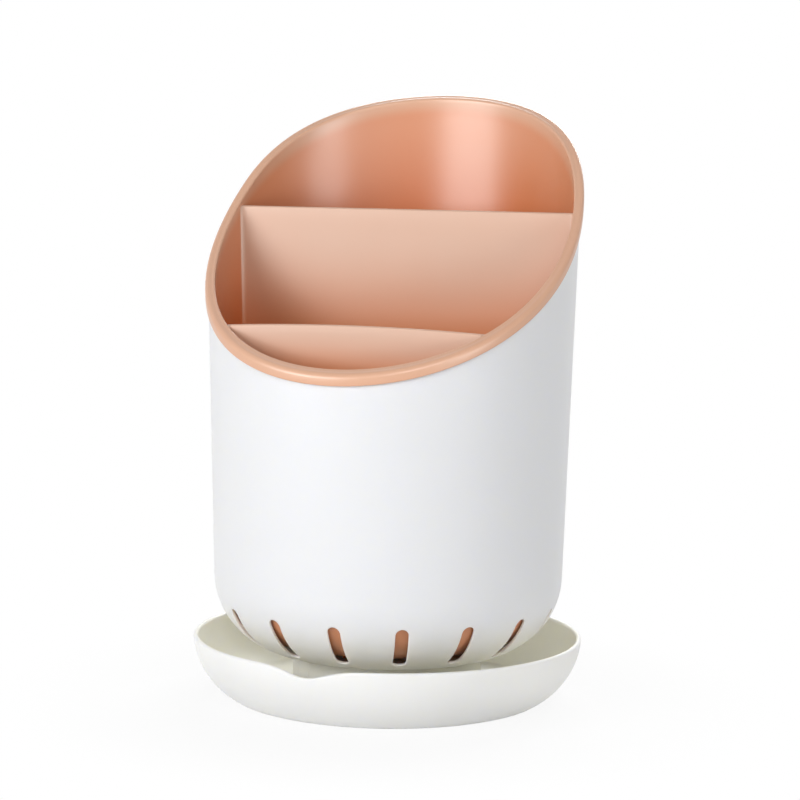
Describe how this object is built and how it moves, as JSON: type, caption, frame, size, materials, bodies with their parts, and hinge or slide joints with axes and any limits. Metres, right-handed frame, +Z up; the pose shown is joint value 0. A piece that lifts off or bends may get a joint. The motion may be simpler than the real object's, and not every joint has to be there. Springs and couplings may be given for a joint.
{
  "type": "chopstick holder",
  "caption": "Round drained chopstick holder with an S-curved slanted rim, a divided lift-out liner and a drip tray with a pouring lip.",
  "frame": {"origin": "centre of the drip tray's underside, on the table", "axes": "+Z up along the walls' axis, -Y towards the low side of the slanted rim, dividers along X"},
  "size_m": [0.1234, 0.1235, 0.1908],
  "materials": {
    "body_white": "satin",
    "tray_white": "satin",
    "liner_pink": "satin"
  },
  "bodies": {
    "tray": {"drip_tray": "tray_white"},
    "body": {"outer_body": "body_white"},
    "liner": {"inner_liner": "liner_pink"}
  },
  "joints": [
    {"name": "body_lift", "type": "slide", "parent": "tray", "child": "body", "axis": [0, 0, 1], "range_m": [0, 0.04]},
    {"name": "liner_lift", "type": "slide", "parent": "body", "child": "liner", "axis": [0, 0, 1], "range_m": [0, 0.19]}
  ]
}
